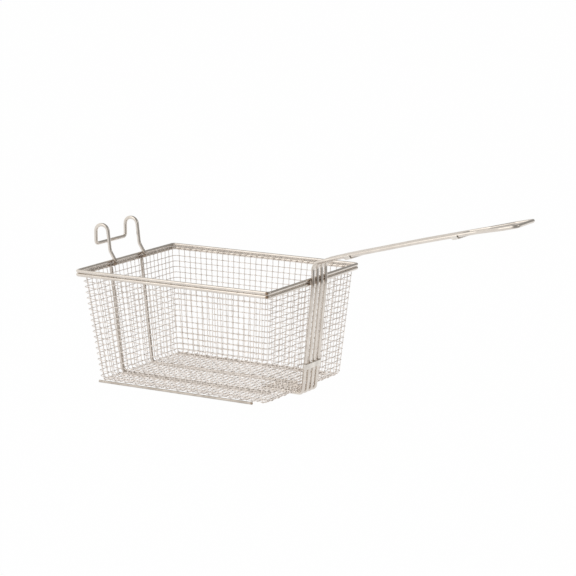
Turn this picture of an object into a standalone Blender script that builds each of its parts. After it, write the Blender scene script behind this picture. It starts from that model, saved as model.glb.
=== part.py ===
"""Deep fryer basket: a formed wire-mesh tub under a double wire rim, with a hook and a long wire handle.

Metres. The basket's long side and its handle run along X, the handle towards +X. Heights given
below are above the tub's floor line, and place() moves them onto the ground.
"""

import math

import bmesh
import bpy
from mathutils import Matrix, Vector

# Clearance left between pieces that touch or are welded
GAP = 0.0003

# Rim: two round rods, one on the other
RIM_LENGTH = 0.279
RIM_WIDTH = 0.2191
RIM_WIRE = 0.0042
RIM_CORNER = 0.004
RIM_MIDDLE_Z = 0.1358

# Tub of woven mesh: half sizes at the floor line on the mesh's middle plane, where the floor
# stands a little towards the handle
MESH_WIRE = 0.0011
MESH_THICKNESS = 2 * MESH_WIRE
MESH_TOP_Z = RIM_MIDDLE_Z + 0.001
TUB_HALF_LENGTH_LOW = 0.1207
TUB_HALF_WIDTH_LOW = 0.0895
TUB_FLOOR_SHIFT = 0.0027
TUB_FLOOR_Z = 0.0004
TUB_CORNER = 0.0055
TUB_FOLD_RADIUS = 0.004
TUB_FOLD_ANGLES = (0, math.radians(28), math.radians(56))
BAR_WIDTH = 0.002
LENGTH_GAPS = 13
WIDTH_GAPS = 9
HEIGHT_GAPS = 7

# Heavier wire of the hook, the frame and the handle, and the thin rods along the bottom edges
ROD_WIRE = 0.0044
RUNNER_WIRE = 0.0032
RUNNER_START = 0.0016
RUNNER_END = 0.0208
RUNNER_FOLD_ANGLE = math.radians(18)

# Hook over the left end wall, with distances out from the rim's end
HOOK_SPACING = 0.0646
HOOK_FOOT_RISE = 0.0016
HOOK_NECK_Z = 0.151
HOOK_ARCH_START = 0.0038
HOOK_TOP_Z = 0.1832
HOOK_BAR_REACH = 0.0214
HOOK_BAR_Z = 0.1584
HOOK_BAR_BEND = 0.0045

# Frame rods up the outside of the left end wall and along under the floor
FRAME_SPREAD_TOP = 0.0338
FRAME_SPREAD_LOW = 0.0322
FRAME_RUN = 0.216
ROD_BEND = 0.0055

# Handle on the right end wall: an outer and an inner hairpin, side by side. Its line goes out from
# the rim's end and up from the rim's middle.
HANDLE_Y = 0.003
ROD_PITCH = 0.0101
WALL_ROD_LEAN = 0.0144
HANDLE_RUN = 0.058
HANDLE_LINE = (
    (0.0220, 0.0285),
    (0.0385, 0.0334),
    (0.0858, 0.0460),
    (0.1387, 0.0601),
    (0.2097, 0.0779),
    (0.2730, 0.0929),
)
ROOT_BEND = 0.011
FLARE_BACK = (0.0525, 0.0225)
FLARE_BENDS = (0.020, 0.015)
LOOP_HALF_WIDTH = 0.025
LOOP_CORNER = 0.007
INNER_BACK = 0.0725
LINE_BEND = 0.2

# Flat straps that tie the four rods together
STRAP_THICKNESS = 0.0015
STRAP_WRAP = math.radians(105)
STRAP_STEPS = 5
WALL_STRAP_Z = 0.0312
WALL_STRAP_WIDTH = 0.007
ROOT_STRAP_REACH = 0.0505
GRIP_STRAP_REACH = 0.1915
GRIP_STRAP_WIDTH = 0.008

# Weld beads: by the handle's rods, and under the hook's feet with half sizes along X, Y and Z
BEAD_RADIUS = 0.0013
BEAD_LENGTH = 0.0064
HOOK_BEAD = (0.0016, 0.0032, 0.0023)
HOOK_BEAD_DROP = 0.001
HOOK_BEAD_ASIDE = 0.0015

# A rod is drawn as an octagon whose flats stand at the wire's true radius
SIDES = 8
FLAT_TO_CORNER = 1 / math.cos(math.pi / SIDES)
ARC_STEP = math.radians(20)
LEAST_TURN = math.radians(1)

# Derived
UNDER_Z = TUB_FLOOR_Z - MESH_THICKNESS / 2 - GAP - ROD_WIRE / 2
LIFT = ROD_WIRE / 2 - UNDER_Z
RIM_END = RIM_LENGTH / 2
RIM_LOW_Z = RIM_MIDDLE_Z - RIM_WIRE
SHIFT_X = (HOOK_BAR_REACH - HANDLE_LINE[-1][0]) / 2
TOP_INSET = RIM_WIRE + GAP + MESH_THICKNESS / 2
TUB_RISE = MESH_TOP_Z - TUB_FLOOR_Z
LENGTH_SLOPE = (RIM_END - TOP_INSET - TUB_HALF_LENGTH_LOW) / TUB_RISE
WIDTH_SLOPE = (RIM_WIDTH / 2 - TOP_INSET - TUB_HALF_WIDTH_LOW) / TUB_RISE
ROD_CORNER = ROD_WIRE / 2 * FLAT_TO_CORNER
WALL_OFFSET = MESH_THICKNESS / 2 + ROD_CORNER + 2 * GAP
CORNER_POINTS = 4


def place(x, y, z):
    """A point of the tub's own frame, in the part's frame."""
    return Vector((x + SHIFT_X, y, z + LIFT))


def clear_scene():
    for old in list(bpy.data.objects):
        bpy.data.objects.remove(old, do_unlink=True)


def new_collection(name):
    made = bpy.data.collections.new(name)
    bpy.context.scene.collection.children.link(made)
    return made


def metal(name, color, roughness):
    made = bpy.data.materials.new(name)
    made.use_nodes = True
    shader = made.node_tree.nodes["Principled BSDF"]
    shader.inputs["Base Color"].default_value = (*color, 1)
    shader.inputs["Metallic"].default_value = 1
    shader.inputs["Roughness"].default_value = roughness
    return made


def mesh_object(name, mesh, material):
    obj = bpy.data.objects.new(name, mesh)
    mesh.materials.append(material)
    BASKET.objects.link(obj)
    return obj


def sheet(obj, thickness):
    """The surface given its thickness, half to each side."""
    shell = obj.modifiers.new("thickness", "SOLIDIFY")
    shell.thickness = thickness
    shell.offset = 0
    shell.use_even_offset = True
    shell.use_quality_normals = True


def rounded(corners):
    """The path through (point, radius) corners, each corner an arc of that radius."""
    points = [Vector(corners[0][0])]
    for before, (corner, radius), after in zip(corners, corners[1:], corners[2:]):
        corner = Vector(corner)
        back = (Vector(before[0]) - corner).normalized()
        ahead = (Vector(after[0]) - corner).normalized()
        turn = math.pi - back.angle(ahead)
        if not radius or turn < LEAST_TURN:
            points.append(corner)
            continue
        reach = radius * math.tan(turn / 2)
        centre = corner + (back + ahead).normalized() * radius / math.cos(turn / 2)
        start = corner + back * reach - centre
        axis = start.cross(corner + ahead * reach - centre).normalized()
        steps = max(1, math.ceil(turn / ARC_STEP))
        for step in range(steps + 1):
            points.append(centre + Matrix.Rotation(turn * step / steps, 3, axis) @ start)
    points.append(Vector(corners[-1][0]))
    return points


def rod(name, points, wire, closed=False):
    """A round wire along a path, its flats level where the path starts level."""
    curve = bpy.data.curves.new(name, "CURVE")
    curve.dimensions = "3D"
    curve.bevel_depth = wire / 2 * FLAT_TO_CORNER
    curve.bevel_resolution = (SIDES - 4) // 2
    curve.use_fill_caps = not closed
    spline = curve.splines.new("POLY")
    spline.points.add(len(points) - 1)
    spline.use_cyclic_u = closed
    for target, point in zip(spline.points, points):
        target.co = (*place(*point), 1)
        target.tilt = math.pi / SIDES
    curve.materials.append(PLATED_ROD)
    BASKET.objects.link(bpy.data.objects.new(name, curve))


def wall_at(z, low, slope):
    """How far out the tub's wall stands at this height, round the fold at the floor."""
    rise = z - TUB_FLOOR_Z
    lean = math.atan(slope)
    centre = low + slope * TUB_FOLD_RADIUS - TUB_FOLD_RADIUS / math.cos(lean)
    if rise < TUB_FOLD_RADIUS * (1 - math.sin(lean)):
        return centre + math.sqrt(max(0, TUB_FOLD_RADIUS**2 - (TUB_FOLD_RADIUS - rise) ** 2))
    return low + slope * rise


def tub_middle(z):
    """The tub's middle along its length, which leans from the shifted floor back to the rim."""
    return TUB_FLOOR_SHIFT * (1 - (z - TUB_FLOOR_Z) / TUB_RISE)


def bar_edges(gaps, half):
    """Both edges of each bar that crosses a wall between its corners."""
    pitch = 2 * half / gaps
    lines = [pitch * (i + 1) - half for i in range(gaps - 1)]
    return [line + side * BAR_WIDTH / 2 for line in lines for side in (-1, 1)]


def tub_ring(z):
    """Points round the tub at one height, and for each stretch between them what bar it is."""
    length = TUB_HALF_LENGTH_LOW + LENGTH_SLOPE * (z - TUB_FLOOR_Z)
    width = TUB_HALF_WIDTH_LOW + WIDTH_SLOPE * (z - TUB_FLOOR_Z)
    out_x = wall_at(z, TUB_HALF_LENGTH_LOW, LENGTH_SLOPE)
    out_y = wall_at(z, TUB_HALF_WIDTH_LOW, WIDTH_SLOPE)
    middle = tub_middle(z)
    radius = TUB_CORNER - (length - out_x)
    half_bar = BAR_WIDTH / 2 / radius
    angles = (0, math.pi / 4 - half_bar, math.pi / 4 + half_bar, math.pi / 2)
    along_x = bar_edges(LENGTH_GAPS, length)
    along_y = bar_edges(WIDTH_GAPS, width)
    points = []
    kinds = []

    def side(edges, point_of):
        for i, edge in enumerate(edges):
            points.append(point_of(edge))
            kinds.append("gap" if i % 2 else "wall bar")

    def corner(sign_x, sign_y, first):
        for i, angle in enumerate(angles):
            x = sign_x * (out_x - radius) + radius * math.cos(first + angle)
            y = sign_y * (out_y - radius) + radius * math.sin(first + angle)
            points.append((middle + x, y))
            kinds.append("corner bar" if i == 1 else "gap")

    side(along_x, lambda x: (middle + x, -out_y))
    corner(1, -1, -math.pi / 2)
    side(along_y, lambda y: (middle + out_x, y))
    corner(1, 1, 0)
    side(along_x[::-1], lambda x: (middle + x, out_y))
    corner(-1, 1, math.pi / 2)
    side(along_y[::-1], lambda y: (middle - out_x, y))
    corner(-1, -1, math.pi)
    return points, kinds


def tub_levels():
    """Heights of the tub's rings, and for each stretch between them whether a hoop fills it."""
    lean = math.atan((LENGTH_SLOPE + WIDTH_SLOPE) / 2)
    angles = (*TUB_FOLD_ANGLES, math.pi / 2 - lean)
    heights = [TUB_FLOOR_Z + TUB_FOLD_RADIUS * (1 - math.cos(angle)) for angle in angles]
    hoops = [False, True, False]
    first_row = heights[2]
    row_pitch = (MESH_TOP_Z - BAR_WIDTH / 2 - first_row) / HEIGHT_GAPS
    for row in range(1, HEIGHT_GAPS + 1):
        middle = first_row + row_pitch * row
        heights += [middle - BAR_WIDTH / 2, middle + BAR_WIDTH / 2]
        hoops += [False, True]
    return heights, hoops


def tub_mesh():
    """The tub's middle surface: rings of bars up the walls, joined to a grid on the floor."""
    bm = bmesh.new()
    heights, hoops = tub_levels()
    rings = [[bm.verts.new(place(x, y, z)) for x, y in tub_ring(z)[0]] for z in heights]
    kinds = tub_ring(TUB_FLOOR_Z)[1]
    count = len(kinds)
    for level, (low, high) in enumerate(zip(rings, rings[1:])):
        for i, kind in enumerate(kinds):
            if hoops[level] or kind == "wall bar" or (kind == "corner bar" and level > 0):
                bm.faces.new((low[i], low[(i + 1) % count], high[(i + 1) % count], high[i]))
    add_floor(bm, rings[0])
    loose = [vert for vert in bm.verts if not vert.link_faces]
    bmesh.ops.delete(bm, geom=loose, context="VERTS")
    bmesh.ops.recalc_face_normals(bm, faces=bm.faces)
    mesh = bpy.data.meshes.new("mesh_basket")
    bm.to_mesh(mesh)
    bm.free()
    return mesh


def add_floor(bm, ring):
    """Crossing bars over the floor, whose ends are the ring's own points."""
    middle = tub_middle(TUB_FLOOR_Z)
    xs = [middle + x for x in bar_edges(LENGTH_GAPS, TUB_HALF_LENGTH_LOW)]
    ys = bar_edges(WIDTH_GAPS, TUB_HALF_WIDTH_LOW)
    right_start = len(xs) + CORNER_POINTS
    rear_start = right_start + len(ys) + CORNER_POINTS
    left_start = rear_start + len(xs) + CORNER_POINTS
    front = ring[: len(xs)]
    right = ring[right_start:][: len(ys)]
    rear = ring[rear_start:][: len(xs)][::-1]
    left = ring[left_start:][: len(ys)][::-1]
    inner = [[bm.verts.new(place(x, y, TUB_FLOOR_Z)) for x in xs] for y in ys]
    rows = [front, *inner, rear]
    for j, (low, high) in enumerate(zip(rows, rows[1:])):
        cross_bar = j % 2 == 1
        for i in range(len(xs) - 1):
            if cross_bar or i % 2 == 0:
                bm.faces.new((low[i], low[i + 1], high[i + 1], high[i]))
        if cross_bar:
            bm.faces.new((left[j - 1], low[0], high[0], left[j]))
            bm.faces.new((low[-1], right[j - 1], right[j], high[-1]))


def build_tub():
    sheet(mesh_object("mesh_basket", tub_mesh(), PLATED_MESH), MESH_THICKNESS)


def build_rim():
    half_x = (RIM_LENGTH - RIM_WIRE) / 2
    half_y = (RIM_WIDTH - RIM_WIRE) / 2
    for name, side in (("rim_upper_wire", 1), ("rim_lower_wire", -1)):
        z = RIM_MIDDLE_Z + side * (RIM_WIRE + GAP) / 2
        seam = ((0, -half_y, z), 0)
        outline = ((half_x, -half_y), (half_x, half_y), (-half_x, half_y), (-half_x, -half_y))
        corners = [((x, y, z), RIM_CORNER) for x, y in outline]
        rod(name, rounded([seam, *corners, seam])[:-1], RIM_WIRE, closed=True)


def build_runners():
    """Thin rods against the outside of the long bottom folds."""
    fold_y = wall_at(TUB_FLOOR_Z, TUB_HALF_WIDTH_LOW, WIDTH_SLOPE)
    reach = TUB_FOLD_RADIUS + MESH_THICKNESS / 2 + RUNNER_WIRE / 2 * FLAT_TO_CORNER + GAP
    y = fold_y + reach * math.sin(RUNNER_FOLD_ANGLE)
    z = TUB_FLOOR_Z + TUB_FOLD_RADIUS - reach * math.cos(RUNNER_FOLD_ANGLE)
    start_x = TUB_FLOOR_SHIFT - TUB_HALF_LENGTH_LOW - RUNNER_START
    end_x = TUB_FLOOR_SHIFT + TUB_HALF_LENGTH_LOW - RUNNER_END
    for name, side in (("front_runner_rod", -1), ("rear_runner_rod", 1)):
        rod(name, [Vector((start_x, side * y, z)), Vector((end_x, side * y, z))], RUNNER_WIRE)


def left_wall_x(z):
    """The left end wall's middle plane above the fold."""
    return tub_middle(z) - TUB_HALF_LENGTH_LOW - LENGTH_SLOPE * (z - TUB_FLOOR_Z)


def hook_half(y):
    """One hump, from its foot on the mesh's top edge, inside the rim, to the middle of the crossbar."""
    arch_x = -RIM_END - HOOK_ARCH_START
    bar_x = -RIM_END - HOOK_BAR_REACH
    arch_radius = (arch_x - bar_x) / 2 - GAP
    foot_x = left_wall_x(MESH_TOP_Z) + ROD_CORNER + GAP
    return [
        ((foot_x, y, MESH_TOP_Z + HOOK_FOOT_RISE), 0),
        ((-RIM_END, y, HOOK_NECK_Z), 2 * HOOK_BAR_BEND),
        ((arch_x, y, HOOK_TOP_Z), arch_radius),
        ((bar_x, y, HOOK_TOP_Z), arch_radius),
        ((bar_x, y, HOOK_BAR_Z), HOOK_BAR_BEND),
    ]


def build_hook():
    near = hook_half(-HOOK_SPACING / 2)
    far = hook_half(HOOK_SPACING / 2)
    rod("hook_wire", rounded(near + far[::-1]), ROD_WIRE)


def build_frame():
    """Rods under the floor that turn up the outside of the left end wall to the rim."""
    top_x = left_wall_x(RIM_LOW_Z) - WALL_OFFSET
    low_x = left_wall_x(UNDER_Z) - WALL_OFFSET
    for name, side in (("frame_rod_front", -1), ("frame_rod_rear", 1)):
        low_y = side * FRAME_SPREAD_LOW
        corners = [
            ((low_x + FRAME_RUN, low_y, UNDER_Z), 0),
            ((low_x, low_y, UNDER_Z), ROD_BEND),
            ((top_x, side * FRAME_SPREAD_TOP, RIM_LOW_Z - 2 * GAP), 0),
        ]
        rod(name, rounded(corners), ROD_WIRE)


def wall_rod_x(z):
    """Where the handle's rods stand outside the end wall, as they lean in from the rim."""
    drop = min(1, (RIM_LOW_Z - z) / RIM_LOW_Z)
    return RIM_END + ROD_CORNER + GAP - WALL_ROD_LEAN * max(0, drop)


def handle_z(x):
    """Height of the handle's centre line at this distance out from the rim's end."""
    for (x0, z0), (x1, z1) in zip(HANDLE_LINE, HANDLE_LINE[1:]):
        if x <= x1:
            break
    return RIM_MIDDLE_Z + z0 + (z1 - z0) * (x - x0) / (x1 - x0)


def handle_point(x, y):
    return (RIM_END + x, y, handle_z(x))


def handle_arm(offset, end_x):
    """One rod of a hairpin, from under the floor up the wall and out along the handle."""
    y = HANDLE_Y + offset
    root_x = wall_rod_x(RIM_LOW_Z)
    under_x = wall_rod_x(UNDER_Z)
    corners = [
        ((under_x - HANDLE_RUN, y, UNDER_Z), 0),
        ((under_x, y, UNDER_Z), ROD_BEND),
        ((root_x, y, RIM_LOW_Z), 3 * ROOT_BEND),
        ((root_x, y, handle_z(root_x - RIM_END)), ROOT_BEND),
    ]
    line = [x for x, _ in HANDLE_LINE if x < end_x - LOOP_CORNER]
    return corners + [(handle_point(x, y), LINE_BEND) for x in line]


def build_handle():
    tip_x = HANDLE_LINE[-1][0]
    flare_x = [tip_x - back for back in FLARE_BACK]
    outer = []
    for side in (-1, 1):
        loop_y = HANDLE_Y + side * LOOP_HALF_WIDTH
        offset = side * 1.5 * ROD_PITCH
        arm = handle_arm(offset, flare_x[0])
        arm.append((handle_point(flare_x[0], HANDLE_Y + offset), FLARE_BENDS[0]))
        arm.append((handle_point(flare_x[1], loop_y), FLARE_BENDS[1]))
        arm.append((handle_point(tip_x, loop_y), LOOP_CORNER))
        outer.append(arm)
    rod("handle_outer_wire", rounded(outer[0] + outer[1][::-1]), ROD_WIRE)
    inner = []
    for side in (-1, 1):
        offset = side * 0.5 * ROD_PITCH
        arm = handle_arm(offset, tip_x - INNER_BACK)
        arm.append((handle_point(tip_x - INNER_BACK, HANDLE_Y + offset), ROD_PITCH / 2 - GAP / 2))
        inner.append(arm)
    rod("handle_inner_wire", rounded(inner[0] + inner[1][::-1]), ROD_WIRE)


def strap(name, centre, along, width):
    """A flat strap across the four rods on their outer side, its ends turned round the outer two."""
    reach = ROD_CORNER + GAP + STRAP_THICKNESS / 2
    outer = 1.5 * ROD_PITCH
    angles = [STRAP_WRAP * i / STRAP_STEPS for i in range(STRAP_STEPS + 1)]
    turned = [(outer + reach * math.sin(angle), reach * math.cos(angle)) for angle in angles]
    path = [(-y, n) for y, n in turned[::-1]] + turned
    along = Vector(along).normalized()
    outward = Vector((along.z, 0, -along.x))
    bm = bmesh.new()
    rows = []
    for side in (-1, 1):
        start = Vector(centre) + along * side * width / 2
        row = [place(*(start + Vector((0, y, 0)) + outward * n)) for y, n in path]
        rows.append([bm.verts.new(point) for point in row])
    for low, high in zip(zip(rows[0], rows[0][1:]), zip(rows[1], rows[1][1:])):
        bm.faces.new((low[0], low[1], high[1], high[0]))
    bmesh.ops.recalc_face_normals(bm, faces=bm.faces)
    mesh = bpy.data.meshes.new(name)
    bm.to_mesh(mesh)
    bm.free()
    sheet(mesh_object(name, mesh, STRAP_STEEL), STRAP_THICKNESS)


def build_straps():
    along = (wall_rod_x(RIM_LOW_Z) - wall_rod_x(0), 0, RIM_LOW_Z)
    centre = (wall_rod_x(WALL_STRAP_Z), HANDLE_Y, WALL_STRAP_Z)
    strap("wall_strap", centre, along, WALL_STRAP_WIDTH)
    for name, x in (("handle_strap_root", ROOT_STRAP_REACH), ("handle_strap_grip", GRIP_STRAP_REACH)):
        half = GRIP_STRAP_WIDTH / 2
        along = (2 * half, 0, handle_z(x + half) - handle_z(x - half))
        strap(name, handle_point(x, HANDLE_Y), along, GRIP_STRAP_WIDTH)


def bead(name, centre, size):
    """A weld bead as a small rounded lump in the angle between two rods."""
    bm = bmesh.new()
    bmesh.ops.create_uvsphere(bm, u_segments=10, v_segments=7, radius=1)
    shape = Matrix.Translation(place(*centre)) @ Matrix.Diagonal((*size, 1))
    bmesh.ops.transform(bm, matrix=shape, verts=bm.verts)
    mesh = bpy.data.meshes.new(name)
    bm.to_mesh(mesh)
    bm.free()
    mesh_object(name, mesh, WELD_STEEL)


def build_welds():
    names = ("weld_handle_front", "weld_handle_mid_front", "weld_handle_mid_rear", "weld_handle_rear")
    for i, name in enumerate(names):
        side = -1 if i < 2 else 1
        y = HANDLE_Y + (i - 1.5) * ROD_PITCH + side * (ROD_CORNER + BEAD_RADIUS)
        x = RIM_END + BEAD_RADIUS + 1.5 * GAP
        bead(name, (x, y, RIM_MIDDLE_Z), (BEAD_RADIUS, BEAD_RADIUS, BEAD_LENGTH / 2))
    z = MESH_TOP_Z - HOOK_BEAD_DROP
    x = left_wall_x(z) + MESH_THICKNESS / 2 + HOOK_BEAD[0] + GAP
    for name, side in (("weld_hook_front", -1), ("weld_hook_rear", 1)):
        bead(name, (x, side * HOOK_SPACING / 2 - HOOK_BEAD_ASIDE, z), HOOK_BEAD)


clear_scene()
bpy.context.scene.unit_settings.system = "METRIC"
BASKET = new_collection("deep_fryer_basket")
PLATED_ROD = metal("plated_rod", (0.72, 0.70, 0.66), 0.22)
PLATED_MESH = metal("plated_mesh", (0.70, 0.68, 0.64), 0.28)
STRAP_STEEL = metal("strap_steel", (0.52, 0.50, 0.47), 0.38)
WELD_STEEL = metal("weld_steel", (0.36, 0.32, 0.28), 0.5)
build_tub()
build_rim()
build_runners()
build_hook()
build_frame()
build_handle()
build_straps()
build_welds()
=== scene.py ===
"""Looks of the deep fryer basket: a woven tub of crimped wire, plated rods, straps and welds."""

import math

import bmesh
import bpy
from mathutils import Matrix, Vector


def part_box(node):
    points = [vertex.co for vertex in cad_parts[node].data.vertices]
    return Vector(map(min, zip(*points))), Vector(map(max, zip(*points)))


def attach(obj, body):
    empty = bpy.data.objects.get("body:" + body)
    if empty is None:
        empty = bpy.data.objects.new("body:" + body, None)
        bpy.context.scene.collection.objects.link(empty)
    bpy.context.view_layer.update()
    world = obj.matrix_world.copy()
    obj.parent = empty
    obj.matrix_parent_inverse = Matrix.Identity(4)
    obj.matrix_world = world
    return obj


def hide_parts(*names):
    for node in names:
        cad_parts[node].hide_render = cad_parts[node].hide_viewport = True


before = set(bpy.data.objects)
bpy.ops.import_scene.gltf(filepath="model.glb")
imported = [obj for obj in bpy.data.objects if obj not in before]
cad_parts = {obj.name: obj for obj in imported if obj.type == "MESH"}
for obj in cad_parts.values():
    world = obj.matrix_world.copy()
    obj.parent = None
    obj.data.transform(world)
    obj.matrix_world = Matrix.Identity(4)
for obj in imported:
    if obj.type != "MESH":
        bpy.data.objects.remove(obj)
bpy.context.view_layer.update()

# Driving sizes, in metres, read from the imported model
RIM_LOW, RIM_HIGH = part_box("rim_upper_wire")
RIM_WIRE = RIM_HIGH.z - RIM_LOW.z
RIM_LENGTH = RIM_HIGH.x - RIM_LOW.x
RIM_WIDTH = RIM_HIGH.y - RIM_LOW.y
WELD_GAP = 0.0003
MESH_LOW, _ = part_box("mesh_basket")
WEAVE_HALF = 0.0011
MESH_WIRE = 0.00094
CRIMP = WEAVE_HALF - MESH_WIRE / 2

# Shares of the crimp at a crossing: slight for uprights and long floor wires, strong for the rest
SLIGHT_SHARE = 0.38
STRONG_SHARE = MESH_WIRE / CRIMP - SLIGHT_SHARE

# The tub's own frame: the rim's middle in plan, and heights above the line where the floor lies
TUB_X = (RIM_LOW.x + RIM_HIGH.x) / 2
TUB_FLOOR_Z = 0.0004
LIFT = MESH_LOW.z + WEAVE_HALF - TUB_FLOOR_Z
RIM_MIDDLE_Z = RIM_LOW.z - WELD_GAP / 2 - LIFT
RIM_END = RIM_LENGTH / 2
RIM_LOW_Z = RIM_MIDDLE_Z - RIM_WIRE
MESH_EDGE_RISE = 0.001
MESH_TOP_Z = RIM_MIDDLE_Z + MESH_EDGE_RISE
RIM_CORNER = 0.004
CORNER_SIGNS = ((1, -1), (1, 1), (-1, 1), (-1, -1))
DOWN = Vector((0, 0, -1))

# The woven tub: half sizes at the floor and at the top, on the weave's middle plane
TUB_HALF_LENGTH_LOW = 0.1207
TUB_HALF_WIDTH_LOW = 0.0895
TUB_FLOOR_SHIFT = 0.0027
TOP_INSET = RIM_WIRE + WELD_GAP + WEAVE_HALF
TUB_RISE = MESH_TOP_Z - TUB_FLOOR_Z
LENGTH_SLOPE = (RIM_END - TOP_INSET - TUB_HALF_LENGTH_LOW) / TUB_RISE
WIDTH_SLOPE = (RIM_WIDTH / 2 - TOP_INSET - TUB_HALF_WIDTH_LOW) / TUB_RISE
LEAN = math.atan((LENGTH_SLOPE + WIDTH_SLOPE) / 2)
TUB_CORNER = 0.0055
FOLD_RADIUS = 0.004

# The weave: wires across and along the floor, which run on up the walls, and hoops round them
PITCH_X = 0.0076
PITCH_Y = 0.0075
CROSS_WIRES = 31
LONG_WIRES = 23
WEAVE_SHIFT_Y = 0.003
CORNER_TURNS = (0.15, 0.5, 0.85)
CORNER_WIRE_TURN = 0.6
HOOP_PITCH = 0.0071
FIRST_HOOP = 0.0046
HOOPS = 20
TOP_HOOP_RISE = 0.0016
EDGE_HOOP_ANGLE = math.radians(12)
WIRE_STEPS = 4
WIRE_SIDES = 8

# Beads of weld on the uprights' ends
BEAD_OUT = 0.0008
BEAD_RADIUS = 0.0007
BEAD_SEGMENTS = 8
BEAD_RINGS = 6
BEAD_LEAST = (0.8, 0.8, 0.9)
BEAD_MOST = (1.15, 1.15, 1.5)
BEAD_SEED = 3

# Heavier rods. The model's are eight-sided, and their corners decide how near a neighbour lies
ROD_WIRE = 0.0044
RUNNER_WIRE = 0.0032
ROD_BEND = 0.0055
MODEL_SIDES = 8
ROD_SIDES = 24
BEND_STEPS = 9
UNDER_Z = TUB_FLOOR_Z - WEAVE_HALF - WELD_GAP - ROD_WIRE / 2
ROD_CORNER = ROD_WIRE / 2 / math.cos(math.pi / MODEL_SIDES)
WALL_OFFSET = WEAVE_HALF + ROD_CORNER + 2 * WELD_GAP

# Hook, with distances out from the rim's end
HOOK_SPACING = 0.0646
HOOK_FOOT_RISE = 0.0016
HOOK_NECK_Z = 0.151
HOOK_ARCH_START = 0.0038
HOOK_ARCH_SHARE = 0.98
HOOK_TOP_Z = 0.1832
HOOK_BAR_REACH = 0.0214
HOOK_BAR_Z = 0.1584
HOOK_BAR_BEND = 0.0045

# Frame rods on the left end wall and under the floor
FRAME_SPREAD_TOP = 0.0338
FRAME_SPREAD_LOW = 0.0322
FRAME_RUN = 0.216

# Handle: its line goes out from the rim's end and up from the rim's middle
HANDLE_Y = 0.003
ROD_PITCH = 0.0101
OUTER_ROD = 1.5 * ROD_PITCH
INNER_ROD = 0.5 * ROD_PITCH
WALL_ROD_LEAN = 0.0144
HANDLE_RUN = 0.058
HANDLE_LINE = (
    (0.0220, 0.0285),
    (0.0385, 0.0334),
    (0.0858, 0.0460),
    (0.1387, 0.0601),
    (0.2097, 0.0779),
    (0.2730, 0.0929),
)
ROOT_BEND = 0.011
NECK_BEND = 3 * ROOT_BEND
FLARE_BACK = (0.0525, 0.0225)
FLARE_BENDS = (0.020, 0.015)
LOOP_HALF_WIDTH = 0.025
LOOP_CORNER = 0.007
INNER_BACK = 0.0725
INNER_BEND = ROD_PITCH * 0.49
LINE_BEND = 0.2

# Straps
STRAP_THICKNESS = 0.0015
STRAP_WRAP = math.radians(105)
STRAP_STEPS = 10
STRAP_EDGE = 0.0004
WALL_STRAP_Z = 0.0312
WALL_STRAP_WIDTH = 0.007
ROOT_STRAP_REACH = 0.0505
GRIP_STRAP_REACH = 0.1915
GRIP_STRAP_WIDTH = 0.008

# Metal: patches and draw marks, how far each roughens it, and the painted shade where wires cross
PATCH_SCALE = 90.0
PATCH_DETAIL = 3.0
PATCH_RANGE = (0.35, 0.7)
PATCH_ROUGH = 0.08
DRAW_SCALE = 1400.0
DRAW_DETAIL = 2.0
DRAW_DEPTH = 0.0002
DRAW_ROUGH = 0.06
CROSSING_SHADE_RANGE = (0.55, 1.0)
CROSSING_SHADE_COLOR = (0.26, 0.23, 0.20)

# Brown heat tint at the welds, darkened further as painted shade in the gaps beside them: places,
# then reach and depth
HEAT_TINT_AND_SHADE_COLOR = (0.26, 0.17, 0.10)
TINT_AND_SHADE_CORE = 0.35
HOOK_MARK_INSET = 0.008
HOOK_MARK_SHIFT = 0.0015
RIM_JOINT_INSET = 0.0035
HOOK_MARK = (0.008, 0.6)
RIM_JOINT_MARK = (0.0032, 0.95)
NEAR_ROD_MARK = (0.010, 0.45)
ROD_MARK = (0.010, 0.2)
RUNNER_MARK = (0.003, 0.85)

# Camera of the photograph, from the tub's middle at its floor line
CAMERA_PLACE = Vector((1.46406, -2.30717, 0.66047))
CAMERA_AZIMUTH = math.radians(30.59)
CAMERA_ELEVATION = math.radians(11.35)
CAMERA_LENS = 140.7
CAMERA_SENSOR = 36
FAR_LIMIT = 100

# Studio floor: how white it looks, and its darker side in reflections
FLOOR_SIZE = 60
FLOOR_WHITE = 0.99
FLOOR_COLOR = (0.86, 0.85, 0.84)
DARK_SIDE = (0.93, -0.37, 0)
DARK_TURN = (0.3, 0.85)
DARK_DISTANCE = (0.25, 0.7)
DARK_SHARE = 0.7

# The room's light, brightest at the left, and two soft lamps: name, place, size and power
BRIGHT_SIDE = (-0.8, -0.4, -0.4)
BRIGHT_TURN = (-0.2, 0.2)
SKY_BRIGHT = 1.0
SKY_DIM = 0.38
SKY_COLOR = (1, 0.985, 0.96)
WHITE = (1, 1, 1)
LAMPS = (
    ("key_softbox", (-0.7, -1.6, 1.9), 1.8, 8),
    ("side_softbox", (1.9, 0.4, 1.2), 1.0, 3),
)
LAMP_COLOR = (1, 0.98, 0.95)
LAMP_AIM = (0.05, 0, 0.08)


def place(x, y, z):
    """A point of the tub's own frame, in the row frame."""
    return Vector((x + TUB_X, y, z + LIFT))


def put(name, data):
    """A new object with this data, in the scene."""
    made = bpy.data.objects.new(name, data)
    bpy.context.scene.collection.objects.link(made)
    return made


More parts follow.
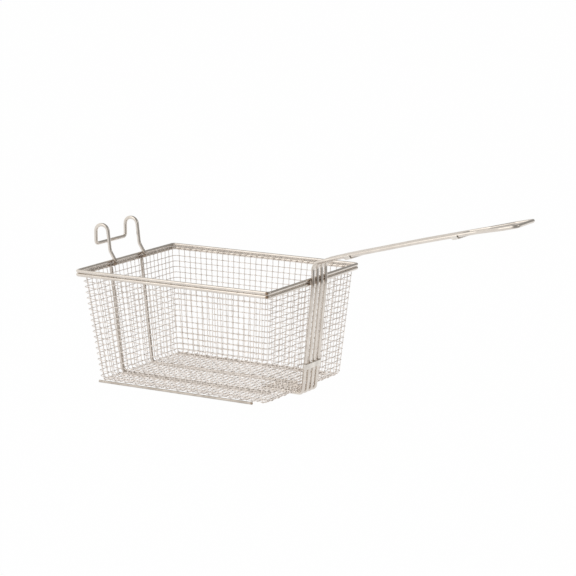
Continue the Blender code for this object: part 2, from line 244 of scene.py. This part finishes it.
class Value:
    """A node's output, on which Python's operators add Math nodes."""

    def __init__(self, tree, socket):
        self.tree = tree
        self.socket = socket

    def math(self, operation, *others):
        inputs = {i: value for i, value in enumerate((self, *others))}
        return self.tree.add("ShaderNodeMath", {"operation": operation}, inputs)

    def __add__(self, other):
        return self.math("ADD", other)

    def __rsub__(self, other):
        return (self * -1) + other

    def __mul__(self, other):
        return self.math("MULTIPLY", other)

    def __truediv__(self, other):
        return self.math("DIVIDE", other)

    def high(self, other):
        return self.math("MAXIMUM", other)

    def ramp(self, start, end):
        """0 before start, 1 after end, smooth between."""
        inputs = {"Value": self, 1: start, 2: end}
        settings = {"interpolation_type": "SMOOTHSTEP"}
        return self.tree.add("ShaderNodeMapRange", settings, inputs)


class Tree:
    """A node tree. add() adds one node, with its settings and its sockets' values or links."""

    def __init__(self, tree):
        self.tree = tree

    def add(self, kind, settings=None, inputs=None, output=0):
        node = self.tree.nodes.new(kind)
        for key, value in (settings or {}).items():
            setattr(node, key, value)
        for key, value in (inputs or {}).items():
            if isinstance(value, Value):
                self.tree.links.new(value.socket, node.inputs[key])
            else:
                node.inputs[key].default_value = value
        return Value(self, node.outputs[output]) if node.outputs else node

    def dot(self, first, second):
        inputs = {0: first, 1: Vector(second)}
        return self.add("ShaderNodeVectorMath", {"operation": "DOT_PRODUCT"}, inputs, 1)

    def noise(self, where, scale, detail):
        inputs = {"Vector": where, "Scale": scale, "Detail": detail}
        return self.add("ShaderNodeTexNoise", None, inputs)

    def mix(self, factor, first, second):
        """Mix of two colours."""
        inputs = {0: factor}
        for key, value in ((6, first), (7, second)):
            inputs[key] = value if isinstance(value, Value) else (*value, 1)
        return self.add("ShaderNodeMix", {"data_type": "RGBA"}, inputs, output=2)


class Geometry(Tree):
    """A geometry tree with named inputs, which ends in Realize Instances and Set Material."""

    def __init__(self, name, sizes):
        super().__init__(bpy.data.node_groups.new(name, "GeometryNodeTree"))
        self.sockets = {}
        interface = self.tree.interface
        interface.new_socket("Geometry", in_out="INPUT", socket_type="NodeSocketGeometry")
        for label, kind in (*sizes.items(), ("Finish", "NodeSocketMaterial")):
            socket = interface.new_socket(label, in_out="INPUT", socket_type=kind)
            self.sockets[label] = socket.identifier
        interface.new_socket("Geometry", in_out="OUTPUT", socket_type="NodeSocketGeometry")
        self.source = self.tree.nodes.new("NodeGroupInput")

    def given(self, label):
        return Value(self, self.source.outputs[label])

    def attribute(self, name, kind):
        inputs = {"Name": name}
        return self.add("GeometryNodeInputNamedAttribute", {"data_type": kind}, inputs)

    def sweep(self, line, sides):
        """A closed round wire of the given thickness along the line, as the tree's result."""
        inputs = {"Resolution": sides, "Radius": self.given("Wire") / 2}
        ring = self.add("GeometryNodeCurvePrimitiveCircle", {"mode": "RADIUS"}, inputs)
        inputs = {"Curve": line, "Profile Curve": ring, "Fill Caps": True}
        self.end(self.add("GeometryNodeCurveToMesh", None, inputs))

    def end(self, geometry):
        smooth = self.add("GeometryNodeSetShadeSmooth", None, {"Geometry": geometry})
        real = self.add("GeometryNodeRealizeInstances", None, {"Geometry": smooth})
        inputs = {"Geometry": real, "Material": self.given("Finish")}
        done = self.add("GeometryNodeSetMaterial", None, inputs)
        out = self.tree.nodes.new("NodeGroupOutput")
        self.tree.links.new(done.socket, out.inputs["Geometry"])

    def shape(self, name, guide, values):
        """The plain mesh object that the tree makes from a guide mesh."""
        source = put(name + "_guide", guide)
        modifier = source.modifiers.new("shape", "NODES")
        modifier.node_group = self.tree
        for label, value in values.items():
            modifier[self.sockets[label]] = value
        graph = bpy.context.evaluated_depsgraph_get()
        mesh = bpy.data.meshes.new_from_object(source.evaluated_get(graph))
        source.modifiers.remove(modifier)
        bpy.data.objects.remove(source, do_unlink=True)
        return put(name, mesh)


def chain_mesh(name, chains, closed=False):
    """A guide mesh of chains, each a list of (point, facts). The facts are stored as attributes."""
    points = []
    edges = []
    facts = []
    for chain in chains:
        first = len(points)
        points += [point for point, _ in chain]
        facts += [fact for _, fact in chain]
        edges += [(i, i + 1) for i in range(first, len(points) - 1)]
        if closed:
            edges.append((len(points) - 1, first))
    mesh = bpy.data.meshes.new(name)
    mesh.from_pydata(points, edges, [])
    for key, value in facts[0].items():
        vector = isinstance(value, Vector)
        layer = mesh.attributes.new(key, "FLOAT_VECTOR" if vector else "FLOAT", "POINT")
        for item, fact in zip(layer.data, facts):
            if vector:
                item.vector = fact[key]
            else:
                item.value = fact[key]
    return mesh


def crimped_wire_tree():
    """Wires that step over and under their neighbours: each guide point is a crossing."""
    tree = Geometry("crimped_wire", {"Wire": "NodeSocketFloat", "Crimp": "NodeSocketFloat"})
    away = tree.attribute("outward", "FLOAT_VECTOR")
    height = tree.attribute("over", "FLOAT") * tree.given("Crimp")
    inputs = {0: away, "Scale": height}
    offset = tree.add("ShaderNodeVectorMath", {"operation": "SCALE"}, inputs)
    inputs = {"Geometry": tree.given("Geometry"), "Offset": offset}
    moved = tree.add("GeometryNodeSetPosition", None, inputs)
    line = tree.add("GeometryNodeMeshToCurve", None, {"Mesh": moved})
    line = tree.add("GeometryNodeCurveSplineType", {"spline_type": "CATMULL_ROM"}, {"Curve": line})
    inputs = {"Geometry": line, "Resolution": WIRE_STEPS}
    line = tree.add("GeometryNodeSetSplineResolution", None, inputs)
    tree.sweep(line, WIRE_SIDES)
    return tree


def bent_rod_tree():
    """A round rod along a guide, with the bend radius of each corner stored at its point."""
    tree = Geometry("bent_rod", {"Wire": "NodeSocketFloat"})
    line = tree.add("GeometryNodeMeshToCurve", None, {"Mesh": tree.given("Geometry")})
    bend = tree.attribute("bend", "FLOAT")
    inputs = {"Curve": line, "Radius": bend, "Limit Radius": True, "Count": BEND_STEPS}
    line = tree.add("GeometryNodeFilletCurve", {"mode": "POLY"}, inputs)
    tree.sweep(line, ROD_SIDES)
    return tree


def end_bead_tree():
    """A small squashed bead of weld at each guide point, each of its own size."""
    tree = Geometry("wire_end_beads", {"Radius": "NodeSocketFloat"})
    inputs = {"Radius": tree.given("Radius"), "Segments": BEAD_SEGMENTS, "Rings": BEAD_RINGS}
    bead = tree.add("GeometryNodeMeshUVSphere", None, inputs)
    settings = {"data_type": "FLOAT_VECTOR"}
    inputs = {0: BEAD_LEAST, 1: BEAD_MOST, "Seed": BEAD_SEED}
    size = tree.add("FunctionNodeRandomValue", settings, inputs)
    inputs = {"Points": tree.given("Geometry"), "Instance": bead, "Scale": size}
    tree.end(tree.add("GeometryNodeInstanceOnPoints", None, inputs))
    return tree


def wall_at(z, low, slope):
    """How far out the tub's wall stands at this height, round the fold at the floor."""
    rise = z - TUB_FLOOR_Z
    centre = low + slope * FOLD_RADIUS - FOLD_RADIUS / math.cos(math.atan(slope))
    if rise < FOLD_RADIUS * (1 - math.sin(math.atan(slope))):
        return centre + math.sqrt(max(0, FOLD_RADIUS**2 - (FOLD_RADIUS - rise) ** 2))
    return low + slope * rise


def tilt_at(z):
    """How far the wall's outward direction has turned from straight down, at this height."""
    turned = math.acos(max(-1, 1 - (z - TUB_FLOOR_Z) / FOLD_RADIUS))
    return min(turned, math.pi / 2 - LEAN)


def tub_middle(z):
    """The tub's middle along its length, which leans from the shifted floor back to the rim."""
    return TUB_FLOOR_SHIFT * (1 - (z - TUB_FLOOR_Z) / TUB_RISE)


def tub_point(z, station):
    """Point and outward direction at one height. A station is a wall's two signs and a run along it
    at the floor, or a corner's two signs and a share of its turn."""
    sign_x, sign_y, run = station
    length = TUB_HALF_LENGTH_LOW + LENGTH_SLOPE * (z - TUB_FLOOR_Z)
    width = TUB_HALF_WIDTH_LOW + WIDTH_SLOPE * (z - TUB_FLOOR_Z)
    out_x = wall_at(z, TUB_HALF_LENGTH_LOW, LENGTH_SLOPE)
    out_y = wall_at(z, TUB_HALF_WIDTH_LOW, WIDTH_SLOPE)
    away = Vector((sign_x, sign_y))
    if sign_x and sign_y:
        radius = TUB_CORNER - (length - out_x)
        turn = run * math.pi / 2
        away = Vector((sign_x * math.sin(turn), sign_y * math.cos(turn)))
        x = sign_x * (out_x - radius) + radius * away.x
        y = sign_y * (out_y - radius) + radius * away.y
    elif sign_y:
        x = run * length / TUB_HALF_LENGTH_LOW
        y = sign_y * out_y
    else:
        x = sign_x * out_x
        y = run * width / TUB_HALF_WIDTH_LOW
    tilt = tilt_at(z)
    outward = Vector((*(away * math.sin(tilt)), -math.cos(tilt)))
    return place(tub_middle(z) + x, y, z), outward


def cross_runs():
    return [(i - (CROSS_WIRES - 1) / 2) * PITCH_X for i in range(CROSS_WIRES)]


def long_runs():
    return [(i - (LONG_WIRES - 1) / 2) * PITCH_Y + WEAVE_SHIFT_Y for i in range(LONG_WIRES)]


def uprights():
    """Stations of all the uprights, round the tub from the front left corner."""
    front = [(0, -1, x) for x in cross_runs()]
    right = [(1, 0, y) for y in long_runs()]
    rear = [(0, 1, x) for x in cross_runs()[::-1]]
    left = [(-1, 0, y) for y in long_runs()[::-1]]
    return front, right, rear, left


def hoop_heights():
    """Heights of the hoops, from the floor's edge up to the one behind the lower rim wire."""
    edge = TUB_FLOOR_Z + FOLD_RADIUS * (1 - math.cos(EDGE_HOOP_ANGLE))
    middle = [(FIRST_HOOP + HOOP_PITCH * i) * math.cos(LEAN) for i in range(HOOPS - 2)]
    return [edge, *middle, RIM_LOW_Z + TOP_HOOP_RISE]


def crossing(point, outward, over):
    return point, {"outward": outward, "over": float(over)}


def upright(station, number):
    """One upright from the hoop at the floor's edge to its end at the rim."""
    chain = []
    for row, z in enumerate(hoop_heights()):
        over = SLIGHT_SHARE if (number + row) % 2 else -SLIGHT_SHARE
        chain.append(crossing(*tub_point(z, station), over))
    chain.append(crossing(*tub_point(MESH_TOP_Z, station), SLIGHT_SHARE))
    return chain


def floor_chain(points, before, share):
    """Crossings of one floor wire, in order, after the last one of its upright."""
    over = share if before[1]["over"] < 0 else -share
    chain = []
    for x, y in points:
        spot = place(tub_middle(TUB_FLOOR_Z) + x, y, TUB_FLOOR_Z)
        chain.append(crossing(spot, DOWN, over))
        over = -over
    return chain


def hoop(z, row):
    """A hoop past every upright, round the corners in open loops."""
    chain = []
    number = 0
    for wall, corner in zip(uprights(), CORNER_SIGNS):
        for station in wall:
            over = -STRONG_SHARE if (number + row) % 2 else STRONG_SHARE
            chain.append(crossing(*tub_point(z, station), over))
            number += 1
        turns = CORNER_TURNS if corner[0] != corner[1] else CORNER_TURNS[::-1]
        for turn in turns:
            chain.append(crossing(*tub_point(z, (*corner, turn)), 0))
    return chain


def weave_tub():
    """The woven tub: wires across, wires along, one corner wire and the hoops."""
    tree = crimped_wire_tree()
    front, right, rear, left = uprights()
    across = []
    for i, x in enumerate(cross_runs()):
        near = upright(front[i], i)[::-1]
        floor = floor_chain([(x, y) for y in long_runs()], near[-1], STRONG_SHARE)
        across.append(near + floor + upright(rear[CROSS_WIRES - 1 - i], i))
    along = []
    for i, y in enumerate(long_runs()):
        number = CROSS_WIRES + i
        low = upright(left[LONG_WIRES - 1 - i], number)[::-1]
        floor = floor_chain([(x, y) for x in cross_runs()], low[-1], SLIGHT_SHARE)
        along.append(low + floor + upright(right[i], number))
    corner = [upright((1, -1, CORNER_WIRE_TURN), 0)]
    hoops = [hoop(z, row) for row, z in enumerate(hoop_heights())]
    values = {"Wire": MESH_WIRE, "Crimp": CRIMP, "Finish": FINISH["weave"]}
    for name, chains, closed in (
        ("mesh_cross_wires", across, False),
        ("mesh_long_wires", along, False),
        ("mesh_corner_wire", corner, False),
        ("mesh_hoops", hoops, True),
    ):
        piece = tree.shape(name, chain_mesh(name, chains, closed), values)
        keep(piece, "plated_mesh", "mesh_basket")


def wire_end_beads():
    """The welded ends of the uprights, on the lower rim wire's inner side."""
    tree = end_bead_tree()
    points = []
    for wall in uprights():
        for station in wall:
            point, outward = tub_point(RIM_MIDDLE_Z - RIM_WIRE / 2, station)
            points.append([(point + outward * BEAD_OUT, {})])
    values = {"Radius": BEAD_RADIUS, "Finish": FINISH["bead"]}
    piece = tree.shape("wire_end_welds", chain_mesh("wire_end_welds", points), values)
    keep(piece, "weld_steel")


def keep(piece, slot, *nodes):
    """The piece rides on the basket and stands for the nodes that it replaces. The slot is not used.
    """
    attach(piece, "root")
    if nodes:
        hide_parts(*nodes)


def flat_caps(mesh):
    """A rod's sawn ends are flat."""
    for face in mesh.polygons:
        face.use_smooth = len(face.vertices) <= 4


def rods():
    """Every heavier rod, from the same corners and bend radii as the model."""
    tree = bent_rod_tree()
    wires = {
        "rim_upper_wire": (rim_corners(1), RIM_WIRE, True, "rod"),
        "rim_lower_wire": (rim_corners(-1), RIM_WIRE, True, "rod"),
        # The rods under the floor and along its folds take a darker copy of the rod finish: painted
        # shade
        "front_runner_rod": (runner_corners(-1), RUNNER_WIRE, False, "painted_shade_rod"),
        "rear_runner_rod": (runner_corners(1), RUNNER_WIRE, False, "painted_shade_rod"),
        "hook_wire": (hook_corners(), ROD_WIRE, False, "rod"),
        "frame_rod_front": (frame_corners(-1), ROD_WIRE, False, "painted_shade_rod"),
        "frame_rod_rear": (frame_corners(1), ROD_WIRE, False, "painted_shade_rod"),
        "handle_outer_wire": (outer_corners(), ROD_WIRE, False, "rod"),
        "handle_inner_wire": (inner_corners(), ROD_WIRE, False, "rod"),
    }
    for node, (corners, wire, closed, finish) in wires.items():
        chain = [(place(*point), {"bend": float(bend)}) for point, bend in corners]
        guide = chain_mesh(node, [chain], closed)
        values = {"Wire": wire, "Finish": FINISH[finish]}
        piece = tree.shape(node.replace("wire", "rod") + "_round", guide, values)
        flat_caps(piece.data)
        keep(piece, "plated_rod", node)


def rim_corners(side):
    half_x = (RIM_LENGTH - RIM_WIRE) / 2
    half_y = (RIM_WIDTH - RIM_WIRE) / 2
    z = RIM_MIDDLE_Z + side * (RIM_WIRE + WELD_GAP) / 2
    return [((x * half_x, y * half_y, z), RIM_CORNER) for x, y in CORNER_SIGNS]


def runner_corners(side):
    """A thin rod along the outside of a bottom fold."""
    low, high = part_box("front_runner_rod")
    y = side * abs(low.y + high.y) / 2
    z = (low.z + high.z) / 2 - LIFT
    return [((low.x - TUB_X, y, z), 0), ((high.x - TUB_X, y, z), 0)]


def left_wall_x(z):
    """The left end wall's middle plane above the fold."""
    return tub_middle(z) - TUB_HALF_LENGTH_LOW - LENGTH_SLOPE * (z - TUB_FLOOR_Z)


def hook_corners():
    """Both humps of the hook, with its feet on the mesh's top edge and the crossbar outside."""
    foot_x = left_wall_x(MESH_TOP_Z) + ROD_CORNER + WELD_GAP
    arch_x = -RIM_END - HOOK_ARCH_START
    bar_x = -RIM_END - HOOK_BAR_REACH
    arch_radius = (arch_x - bar_x) / 2 * HOOK_ARCH_SHARE
    halves = []
    for side in (-1, 1):
        y = side * HOOK_SPACING / 2
        halves.append([
            ((foot_x, y, MESH_TOP_Z + HOOK_FOOT_RISE), 0),
            ((-RIM_END, y, HOOK_NECK_Z), 2 * HOOK_BAR_BEND),
            ((arch_x, y, HOOK_TOP_Z), arch_radius),
            ((bar_x, y, HOOK_TOP_Z), arch_radius),
            ((bar_x, y, HOOK_BAR_Z), HOOK_BAR_BEND),
        ])
    return halves[0] + halves[1][::-1]


def frame_corners(side):
    """A rod under the floor that turns up the outside of the left end wall."""
    low_x = left_wall_x(UNDER_Z) - WALL_OFFSET
    low_y = side * FRAME_SPREAD_LOW
    top_z = RIM_LOW_Z - 2 * WELD_GAP
    return [
        ((low_x + FRAME_RUN, low_y, UNDER_Z), 0),
        ((low_x, low_y, UNDER_Z), ROD_BEND),
        ((left_wall_x(RIM_LOW_Z) - WALL_OFFSET, side * FRAME_SPREAD_TOP, top_z), 0),
    ]


def wall_rod_x(z):
    """Where the handle's rods stand outside the end wall, as they lean in from the rim."""
    drop = min(1, (RIM_LOW_Z - z) / RIM_LOW_Z)
    return RIM_END + ROD_CORNER + WELD_GAP - WALL_ROD_LEAN * max(0, drop)


def handle_z(x):
    """Height of the handle's centre line at this distance out from the rim's end."""
    for (x0, z0), (x1, z1) in zip(HANDLE_LINE, HANDLE_LINE[1:]):
        if x <= x1:
            break
    return RIM_MIDDLE_Z + z0 + (z1 - z0) * (x - x0) / (x1 - x0)


def handle_point(x, y):
    return (RIM_END + x, y, handle_z(x))


def arm_corners(offset, end_x):
    """One arm of a hairpin, from under the floor up the wall and out along the handle."""
    y = HANDLE_Y + offset
    root_x = wall_rod_x(RIM_LOW_Z)
    under_x = wall_rod_x(UNDER_Z)
    corners = [
        ((under_x - HANDLE_RUN, y, UNDER_Z), 0),
        ((under_x, y, UNDER_Z), ROD_BEND),
        ((root_x, y, RIM_LOW_Z), NECK_BEND),
        ((root_x, y, handle_z(root_x - RIM_END)), ROOT_BEND),
    ]
    line = [x for x, _ in HANDLE_LINE if x < end_x - LOOP_CORNER]
    return corners + [(handle_point(x, y), LINE_BEND) for x in line]


def outer_corners():
    tip_x = HANDLE_LINE[-1][0]
    flare_x = [tip_x - back for back in FLARE_BACK]
    arms = []
    for side in (-1, 1):
        offset = side * OUTER_ROD
        loop_y = HANDLE_Y + side * LOOP_HALF_WIDTH
        arm = arm_corners(offset, flare_x[0])
        arm.append((handle_point(flare_x[0], HANDLE_Y + offset), FLARE_BENDS[0]))
        arm.append((handle_point(flare_x[1], loop_y), FLARE_BENDS[1]))
        arm.append((handle_point(tip_x, loop_y), LOOP_CORNER))
        arms.append(arm)
    return arms[0] + arms[1][::-1]


def inner_corners():
    end_x = HANDLE_LINE[-1][0] - INNER_BACK
    arms = []
    for side in (-1, 1):
        offset = side * INNER_ROD
        arm = arm_corners(offset, end_x)
        arms.append(arm + [(handle_point(end_x, HANDLE_Y + offset), INNER_BEND)])
    return arms[0] + arms[1][::-1]


def strap(name, centre, along, width):
    """A flat strap across the four rods, its ends turned round the outer two."""
    along = Vector(along).normalized()
    outward = Vector((along.z, 0, -along.x))
    reach = ROD_CORNER + WELD_GAP + STRAP_THICKNESS / 2
    turned = []
    for i in range(STRAP_STEPS + 1):
        angle = STRAP_WRAP * i / STRAP_STEPS
        turned.append((OUTER_ROD + reach * math.sin(angle), reach * math.cos(angle)))
    path = [(-y, n) for y, n in turned[::-1]] + turned
    bm = bmesh.new()
    rows = []
    for side in (-1, 1):
        start = Vector(centre) + along * side * width / 2
        points = [start + Vector((0, y, 0)) + outward * n for y, n in path]
        rows.append([bm.verts.new(place(*point)) for point in points])
    for low, high in zip(zip(rows[0], rows[0][1:]), zip(rows[1], rows[1][1:])):
        bm.faces.new((low[0], low[1], high[1], high[0]))
    bmesh.ops.recalc_face_normals(bm, faces=bm.faces)
    mesh = bpy.data.meshes.new(name)
    bm.to_mesh(mesh)
    bm.free()
    piece = put(name + "_strip", mesh)
    mesh.materials.append(FINISH["strap"])
    shell = piece.modifiers.new("strip thickness", "SOLIDIFY")
    shell.thickness = STRAP_THICKNESS
    shell.offset = 0
    shell.use_even_offset = True
    edge = piece.modifiers.new("rolled edge", "BEVEL")
    edge.width = STRAP_EDGE
    edge.segments = 2
    keep(piece, "strap_steel", name)


def straps():
    along = (wall_rod_x(RIM_LOW_Z) - wall_rod_x(0), 0, RIM_LOW_Z)
    middle = (wall_rod_x(WALL_STRAP_Z), HANDLE_Y, WALL_STRAP_Z)
    strap("wall_strap", middle, along, WALL_STRAP_WIDTH)
    half = GRIP_STRAP_WIDTH / 2
    for name, x in (
        ("handle_strap_root", ROOT_STRAP_REACH),
        ("handle_strap_grip", GRIP_STRAP_REACH),
    ):
        along = (2 * half, 0, handle_z(x + half) - handle_z(x - half))
        strap(name, handle_point(x, HANDLE_Y), along, GRIP_STRAP_WIDTH)


def weld_beads():
    """The welds' own nodes keep their shape, with a rough finish."""
    for name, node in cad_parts.items():
        if name.startswith("weld_"):
            node.data.materials.clear()
            node.data.materials.append(FINISH["weld"])
            for face in node.data.polygons:
                face.use_smooth = True


def empty_tree(owner):
    """The node tree of a material or a world, emptied."""
    owner.use_nodes = True
    owner.node_tree.nodes.clear()
    return Tree(owner.node_tree)


def heat_tint_and_shade_marks():
    """Places of the brown tint that welding left, darkened further as painted shade in the gaps
    beside the welds, each with its reach and depth.
    """
    marks = []
    for side in (-1, 1):
        hook_y = side * HOOK_SPACING / 2 - HOOK_MARK_SHIFT
        joint_z = RIM_MIDDLE_Z + side * RIM_WIRE / 2
        marks.append(((-RIM_END + HOOK_MARK_INSET, hook_y, RIM_MIDDLE_Z), *HOOK_MARK))
        marks.append(((RIM_END - RIM_JOINT_INSET, -RIM_WIDTH / 2, joint_z), *RIM_JOINT_MARK))
    for offset in (-OUTER_ROD, -INNER_ROD, INNER_ROD, OUTER_ROD):
        mark = NEAR_ROD_MARK if offset == -OUTER_ROD else ROD_MARK
        marks.append(((RIM_END, HANDLE_Y + offset, RIM_MIDDLE_Z), *mark))
    runner_end = runner_corners(-1)[1][0]
    marks.append((runner_end, *RUNNER_MARK))
    return marks


def metal_finish(name, bright, dull, rough, marks, crossing_shade=0):
    """Plated steel: bright and dull patches, fine draw marks, brown heat tint at the welds with
    painted shade in the gaps beside them, and painted shade where wires cross.
    """
    made = bpy.data.materials.new(name)
    tree = empty_tree(made)
    where = tree.add("ShaderNodeTexCoord", output=3)
    patch = tree.noise(where, PATCH_SCALE, PATCH_DETAIL).ramp(*PATCH_RANGE)
    fine = tree.noise(where, DRAW_SCALE, DRAW_DETAIL)
    color = tree.mix(patch, bright, dull)
    # Brown heat tint at each weld, deepened into painted shade in the gaps beside it
    for centre, reach, depth in HEAT_TINT_AND_SHADE_MARKS:
        inputs = {0: where, 1: place(*centre)}
        gap = tree.add("ShaderNodeVectorMath", {"operation": "DISTANCE"}, inputs, 1)
        color = tree.mix((1 - gap.ramp(reach * TINT_AND_SHADE_CORE, reach)) * depth, color, HEAT_TINT_AND_SHADE_COLOR)
    rough_here = patch * PATCH_ROUGH + fine * DRAW_ROUGH + rough
    # Painted shade: the weave is darkened where wires cross, where the crimp is deepest
    if crossing_shade:
        over = tree.add("ShaderNodeAttribute", {"attribute_name": "over"}, output=2)
        deep = over.math("ABSOLUTE").ramp(*CROSSING_SHADE_RANGE)
        color = tree.mix(deep * crossing_shade, color, CROSSING_SHADE_COLOR)
    inputs = {"Strength": marks, "Distance": DRAW_DEPTH, "Height": fine}
    bump = tree.add("ShaderNodeBump", None, inputs)
    inputs = {"Base Color": color, "Metallic": 1.0, "Roughness": rough_here, "Normal": bump}
    shader = tree.add("ShaderNodeBsdfPrincipled", None, inputs)
    tree.add("ShaderNodeOutputMaterial", None, {"Surface": shader})
    return made


def studio_floor():
    """A plain white floor that keeps a faint shadow, darker on one side in reflections."""
    bpy.ops.mesh.primitive_plane_add(size=FLOOR_SIZE)
    floor = bpy.context.object
    floor.name = "studio_floor"
    made = bpy.data.materials.new("white_floor")
    tree = empty_tree(made)
    seen = tree.add("ShaderNodeLightPath", output=0)
    mirrored = tree.add("ShaderNodeLightPath", output=3)
    plain = tree.add("ShaderNodeBsdfDiffuse", None, {"Color": (*FLOOR_COLOR, 1)})
    spot = tree.add("ShaderNodeTexCoord", output=3)
    away = tree.add("ShaderNodeVectorMath", {"operation": "NORMALIZE"}, {0: spot})
    facing = tree.dot(away, DARK_SIDE).ramp(*DARK_TURN)
    far = tree.add("ShaderNodeVectorMath", {"operation": "LENGTH"}, {0: spot}, 1)
    strength = 1 - mirrored * facing * far.ramp(*DARK_DISTANCE) * DARK_SHARE
    inputs = {"Color": (*WHITE, 1), "Strength": strength}
    white = tree.add("ShaderNodeEmission", None, inputs)
    inputs = {0: seen.high(mirrored) * FLOOR_WHITE, 1: plain, 2: white}
    shader = tree.add("ShaderNodeMixShader", None, inputs)
    tree.add("ShaderNodeOutputMaterial", None, {"Surface": shader})
    floor.data.materials.append(made)


def room():
    """A white background, and light that is brightest at the left."""
    world = bpy.data.worlds.new("studio")
    bpy.context.scene.world = world
    tree = empty_tree(world)
    seen = tree.add("ShaderNodeLightPath", output=0)
    where = tree.add("ShaderNodeTexCoord", output=0)
    facing = tree.dot(where, Vector(BRIGHT_SIDE).normalized())
    strength = facing.ramp(*BRIGHT_TURN) * (SKY_BRIGHT - SKY_DIM) + SKY_DIM
    inputs = {"Color": (*SKY_COLOR, 1), "Strength": strength}
    sky = tree.add("ShaderNodeBackground", None, inputs)
    inputs = {"Color": (*WHITE, 1), "Strength": 1.0}
    white = tree.add("ShaderNodeBackground", None, inputs)
    both = tree.add("ShaderNodeMixShader", None, {0: seen, 1: sky, 2: white})
    tree.add("ShaderNodeOutputWorld", None, {"Surface": both})


def lamps():
    for name, spot, size, power in LAMPS:
        lamp = bpy.data.lights.new(name, "AREA")
        lamp.size = size
        lamp.energy = power
        lamp.color = LAMP_COLOR
        holder = put(name, lamp)
        holder.location = place(*spot)
        aim = place(*LAMP_AIM) - holder.location
        holder.rotation_euler = aim.to_track_quat("-Z", "Y").to_euler()


def camera():
    """The photograph's camera."""
    eye = bpy.data.cameras.new("photo_camera")
    eye.lens = CAMERA_LENS
    eye.sensor_width = CAMERA_SENSOR
    eye.clip_end = FAR_LIMIT
    holder = put("photo_camera", eye)
    level = math.cos(CAMERA_ELEVATION)
    back_x = math.sin(CAMERA_AZIMUTH) * level
    back_y = -math.cos(CAMERA_AZIMUTH) * level
    back = Vector((back_x, back_y, math.sin(CAMERA_ELEVATION)))
    holder.location = place(*CAMERA_PLACE)
    holder.rotation_euler = (-back).to_track_quat("-Z", "Y").to_euler()
    bpy.context.scene.camera = holder


bpy.context.scene.view_settings.view_transform = "Standard"
camera()
HEAT_TINT_AND_SHADE_MARKS = heat_tint_and_shade_marks()

# Each finish: name, bright and dull colours, roughness, strength of the draw marks, and painted
# shade where wires cross
FINISH = {
    key: metal_finish(*facts)
    for key, facts in {
        "rod": ("plated_rod_finish", (0.73, 0.677, 0.619), (0.67, 0.617, 0.562), 0.10, 0.01),
        # A darker copy of the rod finish: painted shade for the rods under the floor and along its
        # folds
        "painted_shade_rod": ("dark_rod_finish", (0.58, 0.53, 0.475), (0.48, 0.43, 0.38), 0.28, 0.05),
        "weave": ("plated_weave_finish", (0.92, 0.855, 0.80), (0.79, 0.725, 0.67), 0.24, 0.02, 0.42),
        "strap": ("strap_finish", (0.84, 0.80, 0.74), (0.70, 0.66, 0.61), 0.3, 0.1),
        "weld": ("weld_finish", (0.70, 0.63, 0.56), (0.54, 0.47, 0.41), 0.4, 0.3),
        "bead": ("plated_bead_finish", (0.86, 0.80, 0.74), (0.68, 0.61, 0.55), 0.3, 0.15),
    }.items()
}
weave_tub()
wire_end_beads()
rods()
straps()
weld_beads()
studio_floor()
room()
lamps()
